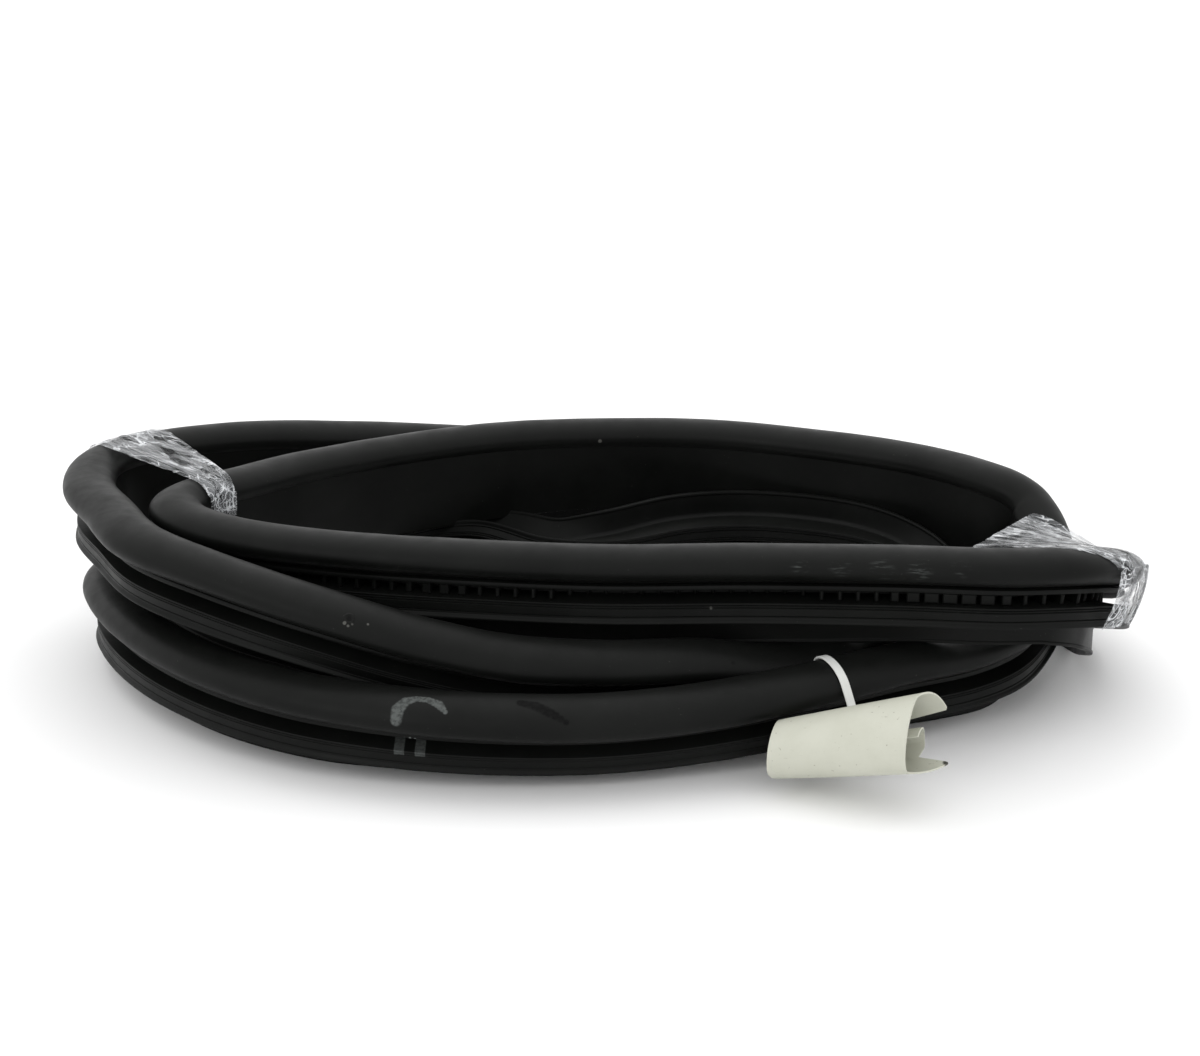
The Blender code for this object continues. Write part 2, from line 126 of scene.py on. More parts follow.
def fine_section():
    """Outline of the rubber, from the flap's end up the inner side, over the bulb and down the front."""
    corners = [(INNER, -BULB_TO_FLAP_END, 0.8)]
    first = math.pi + math.acos(-INNER / (BULB_WIDTH / 2))
    last = -math.radians(58)
    for step in range(BULB_POINTS):
        angle = first + (last - first) * step / (BULB_POINTS - 1)
        corners.append((BULB_WIDTH / 2 * math.cos(angle), BULB_HEIGHT / 2 * math.sin(angle), 0))
    top = -BULB_TO_CHANNEL
    bottom = top - CHANNEL_OPENING
    corners += [
        (LEDGE - 3.0, top + LEDGE_THICKNESS + NECK_GAP * 0.6, 0.3),
        (LEDGE, top + LEDGE_THICKNESS, 0.9),
        (LEDGE, top, 0.6),
        (LEDGE - CHANNEL_DEPTH, top, 0.5),
        (LEDGE - CHANNEL_DEPTH, bottom, 0.5),
        (FOOT, bottom, 0.8),
    ]
    for below in RIDGES_BELOW_CHANNEL:
        groove = bottom - below
        corners += [(FOOT, groove + 0.35, 0), (FOOT - RIDGE_DEPTH, groove, 0), (FOOT, groove - 0.35, 0)]
    corners += [
        (FOOT, -BULB_TO_LIP + 2.0, 0.3),
        (FOOT + LIP_PROJECTION, -BULB_TO_LIP + 1.0, 0.5),
        (FOOT + LIP_PROJECTION, -BULB_TO_LIP, 0.6),
        (FLAP_FACE + 1.0, -BULB_TO_LIP, 0.8),
        (FLAP_FACE, -BULB_TO_LIP - 1.5, 0.8),
        (FLAP_FACE, -BULB_TO_FLAP_END + 1.6, 0.3),
        (FLAP_FACE + 0.5, -BULB_TO_FLAP_END + 1.1, 0.3),
        (FLAP_FACE + 0.5, -BULB_TO_FLAP_END, 0.5),
    ]
    return rounded(corners)


section = fine_section()
print("points in the section:", len(section))

# %% [markdown]
# ## The way the strip lies
# The strip is followed once round all three turns: its place along the coil, its distance from the
# middle in lanes, its height in layers, and its roll. A smooth closed curve through these places gives
# every station of the rubber. It is the same route as the CAD model's.

# %% The route of the endless strip
COIL_MIDDLE = Vector((2.983, 21.693, 0.0))
ROUTE = [
    (-207, -1.65, 1.0, 0), (-186, -3.1, 1.0, -4), (-155, -4.03, 0.9, -2), (-116, -4.66, 0.75, -8),
    (-77, -4.76, 0.52, -15), (-38, -4.7, 0.34, -20), (0, -4.58, 0.24, -18), (40, -4.3, 0.18, -16),
    (62, -4.05, 0.06, -14), (82, -3.7, 0.0, -10), (104, -3.3, 0.0, 4), (126, -2.75, 0.0, 26),
    (143, -2.0, 0.04, 60), (148, -1.0, 0.14, 100), (143, 0.15, 0.24, 140),
    (130, 1.15, 0.28, 166), (108, 2.0, 0.28, 178), (70, 2.45, 0.28, 180), (38, 2.2, 0.28, 179),
    (5, 1.65, 0.22, 170), (-25, 1.8, 0.18, 150),
    (-60, 2.55, 0.25, 130), (-100, 2.8, 0.18, 98), (-140, 2.2, 0.03, 60), (-176, 1.7, 0.0, 25),
    (-204, 1.3, 0.0, 6), (-219, 0.2, 0.0, 0), (-212, -1.1, 0.0, 0),
    (-188, -2.8, 0.0, 0), (-156, -4.15, 0.0, -4), (-118, -5.12, 0.0, -9), (-77, -5.62, 0.0, -14),
    (-38, -5.78, 0.0, -18), (0, -5.7, 0.0, -20), (40, -5.35, 0.01, -19), (80, -4.85, 0.045, -15),
    (120, -4.07, 0.045, -10), (150, -3.42, 0.01, -6), (170, -2.8, 0.01, 0),
    (184, -2.0, 0.08, 0), (193, -1.25, 0.24, 0), (195, -0.35, 0.52, 0), (189, 0.4, 0.77, 0),
    (178, 0.8, 0.9, 0), (146, 2.1, 0.92, 0), (96, 3.15, 0.93, 0), (48, 3.78, 0.93, 0), (0, 3.83, 0.93, 0),
    (-48, 3.55, 0.93, 0), (-94, 2.67, 0.93, 0), (-137, 1.35, 0.95, 0), (-160, 0.2, 0.98, 0),
    (-175, -0.55, 1.0, 0), (-181, -1.3, 1.0, 0), (-172, -2.0, 0.98, 0),
    (-147, -2.65, 0.95, 0), (-109, -3.2, 0.94, 0), (-60, -3.55, 0.93, 0), (0, -3.75, 0.91, 0),
    (60, -3.95, 0.96, 0), (119, -4.2, 0.99, 0), (158, -4.4, 1.0, 0), (184, -4.25, 0.98, 0),
    (203, -3.6, 0.84, 0), (213, -2.7, 0.62, 0), (219, -1.4, 0.3, 0), (221, 0.0, 0.03, 0),
    (211, 1.4, 0.0, 0), (188, 2.75, 0.0, 0), (150, 3.9, 0.02, 0), (105, 4.6, 0.15, 0), (55, 4.9, 0.38, 0),
    (-20, 4.85, 0.6, 0), (-74, 4.35, 0.79, -6), (-122, 3.95, 0.88, 0), (-168, 3.5, 0.95, 0),
    (-207, 2.65, 0.98, 0), (-227, 1.5, 1.0, 0), (-225, -0.1, 1.0, 0),
]
STATIONS_PER_PLACE = 12


def cad_section():
    """The coarse outline, which decides how high a rolled strip rests above the floor."""
    corners = [(INNER, -BULB_TO_FLAP_END), (FOOT + LIP_PROJECTION, -BULB_TO_LIP)]
    corners += [(FLAP_FACE, -BULB_TO_FLAP_END), (FOOT + LIP_PROJECTION, -BULB_TO_LIP + 0.8)]
    first = math.pi + math.acos(-INNER / (BULB_WIDTH / 2))
    last = -math.radians(58)
    for step in range(12):
        angle = first + (last - first) * step / 11
        corners.append((BULB_WIDTH / 2 * math.cos(angle), BULB_HEIGHT / 2 * math.sin(angle)))
    return [(out, up + TO_MIDDLE) for out, up in corners]


def rest_height(roll):
    angle = math.radians(roll)
    return max(-(out * math.sin(angle) + up * math.cos(angle)) for out, up in cad_section())


def smooth_loop(points, steps):
    """Points along a closed smooth curve through the given ones."""
    count = len(points)
    lengths = [(points[(i + 1) % count] - points[i]).xy.length for i in range(count)]
    slopes = []
    for i in range(count):
        slopes.append((points[(i + 1) % count] - points[i - 1]) / (lengths[i - 1] + lengths[i]))
    curve = []
    for i in range(count):
        start, end = points[i], points[(i + 1) % count]
        for step in range(steps):
            t = step / steps
            curve.append(
                start * (2 * t**3 - 3 * t**2 + 1)
                + slopes[i] * lengths[i] * (t**3 - 2 * t**2 + t)
                + end * (3 * t**2 - 2 * t**3)
                + slopes[(i + 1) % count] * lengths[i] * (t**3 - t**2)
            )
    return curve


def strip_stations():
    """The middle, the outward and the upward direction of the strip at every station."""
    places = [Vector((x, y * LANE, rest_height(roll) + z * LAYER, roll)) for x, y, z, roll in ROUTE]
    curve = smooth_loop(places, STATIONS_PER_PLACE)
    middles = [Vector((at.x, at.y, max(at.z, rest_height(at.w)))) for at in curve]
    made = []
    for i, middle in enumerate(middles):
        ahead = (middles[(i + 1) % len(middles)] - middles[i - 1]).normalized()
        level_out = ahead.cross(Vector((0, 0, 1))).normalized()
        level_up = level_out.cross(ahead)
        roll = math.radians(curve[i].w)
        out = level_out * math.cos(roll) + level_up * math.sin(roll)
        up = level_up * math.cos(roll) - level_out * math.sin(roll)
        made.append((middle + COIL_MIDDLE, out, up))
    return made


stations = strip_stations()
travelled = [0.0]
for (before, _, _), (here, _, _) in zip(stations, stations[1:]):
    travelled.append(travelled[-1] + (here - before).length)
print("stations:", len(stations), "length of the strip in mm:", round(travelled[-1]))

# %% [markdown]
# ## Sweeping the rubber
# The outline is carried from station to station and joined into one closed skin. The flap is the
# softest part, so its free edge is given a slow wander of a few tenths of a millimetre, and hangs down a
# little more over three long spans where nothing holds it. The bulb gets a faint unevenness that breaks
# up its highlights. None of this touches where the strip rests on the floor.

# %% Sweep the section along the strip
BULB_UNEVEN = 0.22
FLAP_WANDER = 0.5
FLAP_KEEPS = 0.9
FLAP_SAGS = [
    (Vector((-80, 92, 60)), 75, 3.0), (Vector((-134, -83, 57)), 60, 1.8), (Vector((35, -70, 62)), 95, 2.4),
]


def flap_sag(middle):
    """How much further down the flap hangs at a place in the coil."""
    sags = [0.0]
    for place, reach, extra in FLAP_SAGS:
        sags.append(extra * (1 - ((middle - place).length / reach) ** 2))
    return max(sags)


def swept_point(middle, out, up, o, u):
    """One point of the skin, with the softness of the rubber added."""
    at = middle + out * o + up * u
    down_flap = (-BULB_TO_LIP + TO_MIDDLE - u) / FLAP_LENGTH
    if down_flap > 0:
        sway = noise.noise(at * 0.022) * FLAP_WANDER * min(down_flap, FLAP_KEEPS)
        return at - out * abs(sway) - up * flap_sag(middle) * down_flap
    bulb = (u - TO_MIDDLE) / BULB_HEIGHT + 0.5
    if bulb > 0:
        inward = (middle + up * TO_MIDDLE - at).normalized()
        return at + inward * abs(noise.noise(at * 0.035 + Vector((7, 3, 1)))) * BULB_UNEVEN
    return at


def sweep(rings, outline):
    """Points and faces of the closed loop that the outline makes along the stations."""
    points = [swept_point(*ring, o, u) for ring in rings for o, u in outline]
    size = len(outline)
    total = len(points)
    faces = []
    for ring in range(len(rings)):
        for k in range(size):
            a = ring * size + k
            b = ring * size + (k + 1) % size
            faces.append((a, b, (b + size) % total, (a + size) % total))
    return points, faces


skin_points, skin_faces = sweep(stations, section)
rubber_surface = BVHTree.FromPolygons(skin_points, skin_faces)
print("faces of the skin:", len(skin_faces))

# %% [markdown]
# ## The bars in the channel
# Inside the channel a row of short bars shows, like a ladder: the teeth that grip the flange. Each is a
# block with a bevelled front. Where the channel is pressed open they are broad and stand near its mouth,
# where they catch the light. Towards the ends of such a stretch they get narrow, and elsewhere they lie
# back in the dark. The open stretches are on the upper front strand and on the turned-over back one, so a
# difference in height counts for more than one along the coil.

# %% Blocks for the ladder of bars
BAR_PITCH = 7.2
BAR_LONGEST = 5.8
BAR_SHORTEST = 1.6
BAR_BEVEL = 0.45
BAR_AIR = 0.15
BAR_FORWARD = LEDGE - 1.2
BAR_BACK = LEDGE - 8.5
BROAD_FROM = 0.8
BROAD_RISE = 0.15
FORWARD_RISE = 0.25
HEIGHT_COUNTS = 4.0
OPEN_PLACES = [(Vector((-60, -62, 67)), 60), (Vector((142, -80, 66)), 62), (Vector((8, 80, 34)), 34)]


def openness(at):
    """How far the channel is pressed open at a place in the coil, from 0 to 1."""
    shares = [0.0]
    for place, reach in OPEN_PLACES:
        apart = at - place
        apart.z *= HEIGHT_COUNTS
        shares.append(1 - (apart.length / reach) ** 2)
    return max(shares)


def station_at(distance):
    """The strip's middle and directions at a distance along it."""
    i = int(np.searchsorted(travelled, distance, side="right")) - 1
    i = min(i, len(stations) - 2)
    share = (distance - travelled[i]) / (travelled[i + 1] - travelled[i])
    mixed = [a.lerp(b, share) for a, b in zip(stations[i], stations[i + 1])]
    return mixed[0], mixed[1].normalized(), mixed[2].normalized()


def bar_block(middle, out, up):
    """Twelve corners and ten faces of one bar, bevelled towards the channel's mouth."""
    along = up.cross(out)
    share = openness(middle)
    front = BAR_BACK + (BAR_FORWARD - BAR_BACK) * min(share / FORWARD_RISE, 1)
    broad = min(max((share - BROAD_FROM) / BROAD_RISE, 0), 1)
    length = BAR_SHORTEST + (BAR_LONGEST - BAR_SHORTEST) * broad
    low = -BULB_TO_CHANNEL - CHANNEL_OPENING + BAR_AIR + TO_MIDDLE
    high = -BULB_TO_CHANNEL - BAR_AIR + TO_MIDDLE
    corners = []
    for depth, inset in ((LEDGE - CHANNEL_DEPTH + 0.1, 0), (front - BAR_BEVEL, 0), (front, BAR_BEVEL)):
        for a, u in ((-1, low + inset), (1, low + inset), (1, high - inset), (-1, high - inset)):
            corners.append(middle + along * a * (length / 2 - inset) + out * depth + up * u)
    faces = [(3, 2, 1, 0), (8, 9, 10, 11)]
    for ring in (0, 4):
        for k in range(4):
            n = (k + 1) % 4
            faces.append((ring + k, ring + n, ring + n + 4, ring + k + 4))
    return corners, faces


bar_count = int(travelled[-1] / BAR_PITCH)
bar_points, bar_faces = [], []
for bar in range(bar_count):
    corners, faces = bar_block(*station_at((bar + 0.5) * travelled[-1] / bar_count))
    bar_faces += [tuple(len(bar_points) + k for k in face) for face in faces]
    bar_points += corners
print("bars in the channel:", bar_count)

# %% [markdown]
# ## Small moulded marks
# A round vent dimple sits on the crossing strand near the left. It is a shallow rimmed dish, turned
# from a short profile and laid on the skin at its nearest point to a given place.

# %% The vent dimple
VENT_AT = Vector((-93.5, -104.3, 65.6))
VENT_PROFILE = [(0.05, -0.1), (1.1, -0.06), (1.5, 0.2), (1.8, 0.24), (2.15, 0.12), (2.4, -0.25)]
VENT_SIDES = 28


def turned_dish(centre, normal, profile, sides):
    """A round dish of (radius, height) rings, standing on a surface."""
    across = normal.orthogonal().normalized()
    other = normal.cross(across)
    points, faces = [], []
    for radius, height in profile:
        for k in range(sides):
            turn = 2 * math.pi * k / sides
            spoke = across * math.cos(turn) + other * math.sin(turn)
            points.append(centre + spoke * radius + normal * height)
    for ring in range(len(profile) - 1):
        for k in range(sides):
            n = (k + 1) % sides
            a = ring * sides
            faces.append((a + k, a + sides + k, a + sides + n, a + n))
    faces.append(tuple(range(sides)))
    faces.append(tuple(reversed(range((len(profile) - 1) * sides, len(profile) * sides))))
    return points, faces


vent_spot, vent_normal, _, _ = rubber_surface.find_nearest(VENT_AT)
vent_points, vent_faces = turned_dish(vent_spot, vent_normal, VENT_PROFILE, VENT_SIDES)
print("vent dimple at", [round(v, 1) for v in vent_spot])

# %% [markdown]
# ## One mesh for the rubber
# Skin, bars and dimple are one piece of rubber, so they go into one object, which stands for the CAD
# solid door_seal and hides it. Faces are shaded smooth, and an edge stays crisp where two faces turn by more
# than the crisp angle, which keeps the ridges and the mouth of the channel sharp. The fine skin is a
# little rounder than the faceted solid, so every point is held to the box of the CAD model.

# %% Helpers that turn points into an object
CRISP_ANGLE = math.radians(38)
BOX_LOW = Vector(cad_box[0]) / MM
BOX_HIGH = Vector(cad_box[1]) / MM


def joined(*parts):
    """Several (points, faces) put into one."""
    points, faces = [], []
    for some_points, some_faces in parts:
        faces += [tuple(len(points) + k for k in face) for face in some_faces]
        points += some_points
    return points, faces


def in_box(point):
    """The point, or its nearest place in the box of the CAD model."""
    return Vector(min(max(v, low), high) for v, low, high in zip(point, BOX_LOW, BOX_HIGH))


def make_piece(name, points, faces, slot, node):
    """An object in metres that rides on the one body and stands for a CAD node."""
    mesh = bpy.data.meshes.new(name)
    mesh.from_pydata([in_box(point) * MM for point in points], [], faces)
    solid = bmesh.new()
    solid.from_mesh(mesh)
    bmesh.ops.recalc_face_normals(solid, faces=solid.faces)
    for edge in solid.edges:
        edge.smooth = len(edge.link_faces) == 2 and edge.calc_face_angle() < CRISP_ANGLE
    for face in solid.faces:
        face.smooth = True
    solid.to_mesh(mesh)
    solid.free()
    made = bpy.data.objects.new(name, mesh)
    bpy.context.scene.collection.objects.link(made)
    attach(made, "root")
    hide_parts(node)
    print(name, "has", len(mesh.polygons), "faces")
    return made


rubber_seal = make_piece(
    "rubber_seal",
    *joined((skin_points, skin_faces), (bar_points, bar_faces), (vent_points, vent_faces)),
    "black_rubber",
    "door_seal",
)

# %% [markdown]
# ## Laying the tape
# Packing tape is pulled tight over the bulbs, so each line along it is the upper outline of what lies
# below it, like a string over pegs. The lines are found by dropping rays on the rubber. Where both near
# corners are stuck to a bulb, the edge between them is taut too and spans the hole. At its ends the tape
# turns down beside the rubber.

# %% Lines of tape pulled tight over the rubber
TAPE_LOWEST = 50.0
LEFT_TAPE = {"near": ((-163, -30), (-154, -21)), "far": ((-264, 73), (-224, 99)), "drops": (15.0, 24.0)}
RIGHT_TAPE = {"near": ((146, -101), (190, -8)), "far": ((236, -104), (242, -28)), "drops": (0.0, 26.0)}


def rubber_top(x, y):
    """Height of the rubber's top over a point of the floor, or None where the tape meets none."""
    spot = rubber_surface.ray_cast(Vector((x, y, 3 * SEAL_HEIGHT)), Vector((0, 0, -1)))[0]
    return spot.z if spot is not None and spot.z > TAPE_LOWEST else None


def slope(first, second):
    return (second[1] - first[1]) / (second[0] - first[0])


def taut_line(points):
    """The upper outline of (distance, height) points."""
    line = []
    for point in sorted(points):
        while len(line) > 1 and slope(line[-2], line[-1]) <= slope(line[-1], point):
            line.pop()
        line.append(point)
    return line


def even_points(line, count):
    """Points at even distances along a line of (distance, height) points."""
    places = np.array(line)
    steps = np.hypot(*np.diff(places, axis=0).T)
    along = np.concatenate(([0], np.cumsum(steps)))
    wanted = np.linspace(0, along[-1], count)
    return list(zip(np.interp(wanted, along, places[:, 0]), np.interp(wanted, along, places[:, 1])))


TAPE_BESIDE = 1.4
LEAN = 0.22


def hanging_end(last, beside, drop, count):
    """The end of the tape, which leans in a little as it goes down."""
    line = []
    for k in range(count):
        down = drop * k / (count - 1)
        line.append((last[0] + beside - math.copysign(LEAN * down * down / drop, beside), last[1] - down))
    return line


def tape_line(tape, share, gap, rows, end_rows):
    """One line of the tape, from its near end, over the bulbs, to its far end."""
    start = Vector(tape["near"][0]).lerp(Vector(tape["near"][1]), share) + COIL_MIDDLE.xy
    end = Vector(tape["far"][0]).lerp(Vector(tape["far"][1]), share) + COIL_MIDDLE.xy
    run = (end - start).normalized()
    corner_tops = [rubber_top(*(Vector(corner) + COIL_MIDDLE.xy)) for corner in tape["near"]]
    heights = {}
    if None not in corner_tops:
        heights[0] = corner_tops[0] * (1 - share) + corner_tops[1] * share + gap
    steps = range(int((end - start).length) + 1)
    for step in steps:
        at = start + run * step
        top = rubber_top(at.x, at.y)
        if top is not None:
            for beside in {step - 1, step, step + 1}.intersection(steps):
                heights[beside] = max(heights.get(beside, 0), top + gap)
    line = even_points(taut_line(heights.items()), rows)
    near_drop, far_drop = tape["drops"]
    if near_drop:
        line = hanging_end(line[0], -TAPE_BESIDE, near_drop, end_rows)[::-1] + line
    if far_drop:
        line += hanging_end(line[-1], TAPE_BESIDE, far_drop, end_rows)
    return [Vector((*(start + run * distance), height)) for distance, height in line]


# %% [markdown]
# The film is far thinner than paper and never lies flat. Folds run along the pull, broad ones with finer
# ones between them. Two ridged noises of different grain give that: the absolute value of a noise has
# sharp valleys, which turned over are sharp folds. The film is only ever pushed away from the rubber.
# Each tape is made as two layers, the upper one narrower, so that the folds of one show through the other.

# %% Crinkled film
FOLD_STEP = 1.3


def crinkle(across, along, seed):
    """Height of the folds at a place on the film, from 0 to about 1."""
    drift = noise.noise(Vector((across * 0.05, along * 0.03, seed))) * 6
    folds = abs(noise.noise(Vector(((across + drift) * 0.14, along * 0.02, seed + 5))))
    creases_and_glints = abs(noise.noise(Vector(((across + drift) * 0.3, along * 0.05, seed + 9))))
    return max(0.0, 1.0 - 2.2 * folds) * 0.65 + max(0.0, 1.0 - 2.2 * creases_and_glints) * 0.35


def film_layer(tape, columns, rows, end_rows, gap, fold_height, seed, low=0.0, high=1.0):
    """A grid of points of one layer of crinkled film."""
    shares = [low + (high - low) * k / (columns - 1) for k in range(columns)]
    grid = [tape_line(tape, share, gap, rows, end_rows) for share in shares]
    for _ in range(2):
        grid = [grid[0]] + [
            [(a + b * 2 + c) / 4 for a, b, c in zip(grid[k - 1], grid[k], grid[k + 1])]
            for k in range(1, columns - 1)
        ] + [grid[-1]]
    made = []
    for i, line in enumerate(grid):
        row = []
        for j, point in enumerate(line):
            down = grid[min(i + 1, columns - 1)][j] - grid[max(i - 1, 0)][j]
            ahead = line[min(j + 1, len(line) - 1)] - line[max(j - 1, 0)]
            normal = down.cross(ahead).normalized()
            row.append(point + normal * fold_height * crinkle(i * FOLD_STEP, j * FOLD_STEP, seed))
        made.append(row)
    return made


def thin_sheet(grid, thickness):
    """Points and faces of a sheet of even thickness below a grid of points."""
    rows, columns = len(grid), len(grid[0])
    below = []
    for i, row in enumerate(grid):
        for j, point in enumerate(row):
            down = grid[min(i + 1, rows - 1)][j] - grid[max(i - 1, 0)][j]
            across = row[min(j + 1, columns - 1)] - row[max(j - 1, 0)]
            below.append(point - down.cross(across).normalized() * thickness)
    points = [point for row in grid for point in row] + below
    half = rows * columns
    faces = []
    for i in range(rows - 1):
        for j in range(columns - 1):
            a = i * columns + j
            quad = (a, a + 1, a + columns + 1, a + columns)
            faces += [quad, tuple(k + half for k in reversed(quad))]
    rim = list(range(columns)) + [i * columns + columns - 1 for i in range(1, rows)]
    rim += [(rows - 1) * columns + j for j in range(columns - 2, -1, -1)]
    rim += [i * columns for i in range(rows - 2, 0, -1)]
    for k, a in enumerate(rim):
        b = rim[(k + 1) % len(rim)]
        faces.append((b, a, a + half, b + half))
    return points, faces


FILM = 0.07
left_film = make_piece(
    "left_tape_film",
    *joined(
        thin_sheet(film_layer(LEFT_TAPE, 60, 96, 16, gap=0.3, fold_height=0.45, seed=3), FILM),
        thin_sheet(film_layer(LEFT_TAPE, 46, 96, 14, 0.45, 0.4, seed=21, low=0.2, high=0.86), FILM),
    ),
    "clear_tape",
    "tape_left",
)
right_film = make_piece(
    "right_tape_film",
    *joined(
        thin_sheet(film_layer(RIGHT_TAPE, 80, 60, 20, gap=0.3, fold_height=0.45, seed=41), FILM),
        thin_sheet(film_layer(RIGHT_TAPE, 60, 60, 16, 0.45, 0.4, seed=55, low=0.3, high=0.9), FILM),
    ),
    "clear_tape",
    "tape_right",
)

# %% [markdown]
# ## The tag
# The tag is one stiff card that has curled up. Seen from its right end it goes from its edge at the
# back over the top, down the front, and under into a smaller roll. It is a sheet bent by a formula: an
# angle for how far round it is, a radius for how tight, and a line that it is rolled about. Its corners
# stand out past the roll at the right, above and below, and the lower left corner is rounded off.

# %% The curled card
CARD_THICKNESS = 0.7
CARD_WIDTH = 54.0
CARD_OUTER_RADIUS = 15.5
CARD_INNER_RADIUS = 8.6
CARD_START_LEFT = 212.0
CARD_START_RIGHT = 170.0
CARD_END = -300.0
CARD_TAPER = 0.75
CARD_SWING = 22.0
CARD_RISE = 16.0
CARD_LEFT_END = 67.8
CARD_IN_FRONT = 3.0
CARD_OFF_FLOOR = 4.4
CARD_UPPER_CORNER = 9.0
CARD_LOWER_CORNER = 14.0
CARD_LOWER_CORNER_AT = -102.0
CARD_LOWER_CORNER_TURN = 50.0
CARD_LOWER_CORNER_TURN_UNDER = 22.0
CARD_LEFT_CORNER = 7.0
CARD_LEFT_CORNER_AT = -95.0
CARD_LEFT_CORNER_TURN = 75.0
CARD_ROLL_FROM = -120.0
CARD_ROLL_REACH = 2.0
UPPER_TIP = 0.97
LOWER_TIP = 0.93
CARD_STEPS = 150
CARD_COLUMNS = 26
FIRST_FRONT_PLACE = 28
LAST_FRONT_PLACE = 39
FRONT_RUN = range(FIRST_FRONT_PLACE * STATIONS_PER_PLACE, LAST_FRONT_PLACE * STATIONS_PER_PLACE)


def front_station(x):
    """The station of the lower front strand that is nearest to a place along the coil."""
    return min((stations[k] for k in FRONT_RUN), key=lambda found: abs(found[0].x - COIL_MIDDLE.x - x))


def card_axis():
    """The ends of the line that the card is rolled round, and the direction out of it to the front."""
    middle, out, up = front_station(CARD_LEFT_END)
    bulb_front = middle + up * TO_MIDDLE + out * (BULB_WIDTH / 2)
    swing = math.radians(CARD_SWING)
    along = Vector((math.cos(swing), -math.sin(swing), 0))
    forward = Vector((-math.sin(swing), -math.cos(swing), 0))
    height = CARD_OUTER_RADIUS * CARD_TAPER + CARD_OFF_FLOOR
    left = Vector((CARD_LEFT_END + COIL_MIDDLE.x, bulb_front.y - CARD_IN_FRONT, height))
    return left, left + along * CARD_WIDTH + Vector((0, 0, CARD_RISE)), forward


def card_spoke(angle, forward):
    """Where the card is at its right end, from the middle of its outer turn."""
    curled = min(max((-90 - angle) / 90, 0.0), 1.0)
    radius = CARD_OUTER_RADIUS + (CARD_INNER_RADIUS - CARD_OUTER_RADIUS) * curled
    turn = math.radians(angle)
    height = radius * math.sin(turn) - CARD_OUTER_RADIUS + radius
    return forward * (radius * math.cos(turn)) + Vector((0, 0, height))


def card_angle(share, done):
    """The angle reached when a part of the card's turn is done, at a share of its width."""
    start = CARD_START_LEFT + (CARD_START_RIGHT - CARD_START_LEFT) * share
    return start + (CARD_END - start) * done


def card_left_corner(angle):
    """How far the card's left end is cut back below its front, where the corner is round."""
    turned = 1 - abs(angle - CARD_LEFT_CORNER_AT) / CARD_LEFT_CORNER_TURN
    return CARD_LEFT_CORNER * max(turned, 0) ** 2


def card_corner(angle):
    """How far the card reaches past its right end: at its back edge, below its front, and in the roll."""
    upper = 1 - (CARD_START_RIGHT - angle) / (CARD_START_RIGHT - 90)
    past = angle - CARD_LOWER_CORNER_AT
    lower = 1 - abs(past) / (CARD_LOWER_CORNER_TURN if past > 0 else CARD_LOWER_CORNER_TURN_UNDER)
    upper = min(upper, 2 * UPPER_TIP - upper)
    lower = min(lower, LOWER_TIP)
    roll = min(max((CARD_ROLL_FROM - angle) / 30, 0), 1)
    return max(CARD_UPPER_CORNER * upper, CARD_LOWER_CORNER * lower, CARD_ROLL_REACH * roll)


left_end, right_end, card_forward = card_axis()
card_along = (right_end - left_end).normalized()
card_grid = []
for step in range(CARD_STEPS + 1):
    line = []
    for column in range(CARD_COLUMNS + 1):
        share = column / CARD_COLUMNS
        angle = card_angle(share, step / CARD_STEPS)
        spoke = card_spoke(angle, card_forward)
        reach = card_corner(angle) * max(share * 2 - 1, 0) + card_left_corner(angle) * max(1 - share * 3, 0)
        at = left_end.lerp(right_end, share) + spoke * (CARD_TAPER + (1 - CARD_TAPER) * share)
        line.append(at + card_along * reach)
    card_grid.append(line)
card_tip = max((point for line in card_grid for point in line), key=lambda point: point.x - point.z)
print("tip of the card at", [round(v, 1) for v in card_tip])
card_tag = make_piece("card_tag", *thin_sheet(card_grid, CARD_THICKNESS), "cream_card", "tag")

# %% [markdown]
# ## The tie
# A narrow white strap goes round the front strand and out to the card. Its line is the tight outline
# round the rubber's section and the card's back edge, and a small oval with flat sides is carried along
# that line.

# %% The white strap
TIE_ALONG_CARD = 23.2
TIE_WIDTH = 3.6
TIE_THICKNESS = 1.0
PIECE_GAP = 0.35
TIE_TO_CARD = 5.0
STRAP_POINTS = 150


def cross(a, b, c):
    return (b[0] - a[0]) * (c[1] - a[1]) - (b[1] - a[1]) * (c[0] - a[0])


def hull(points):
    """Convex outline round flat points, in order."""
    ordered = sorted(set(points))
    outline = []
    for some in (ordered, ordered[::-1]):
        line = []
        for point in some:
            while len(line) > 1 and cross(line[-2], line[-1], point) <= 0:
                line.pop()
            line.append(point)
        outline += line[:-1]
    return outline


def evenly_round(outline, count):
    """The closed outline with its points at even distances."""
    closed = np.array(outline + outline[:1])
    along = np.concatenate(([0], np.cumsum(np.hypot(*np.diff(closed, axis=0).T))))
    wanted = np.linspace(0, along[-1], count, endpoint=False)
    return [Vector((np.interp(d, along, closed[:, 0]), np.interp(d, along, closed[:, 1]))) for d in wanted]


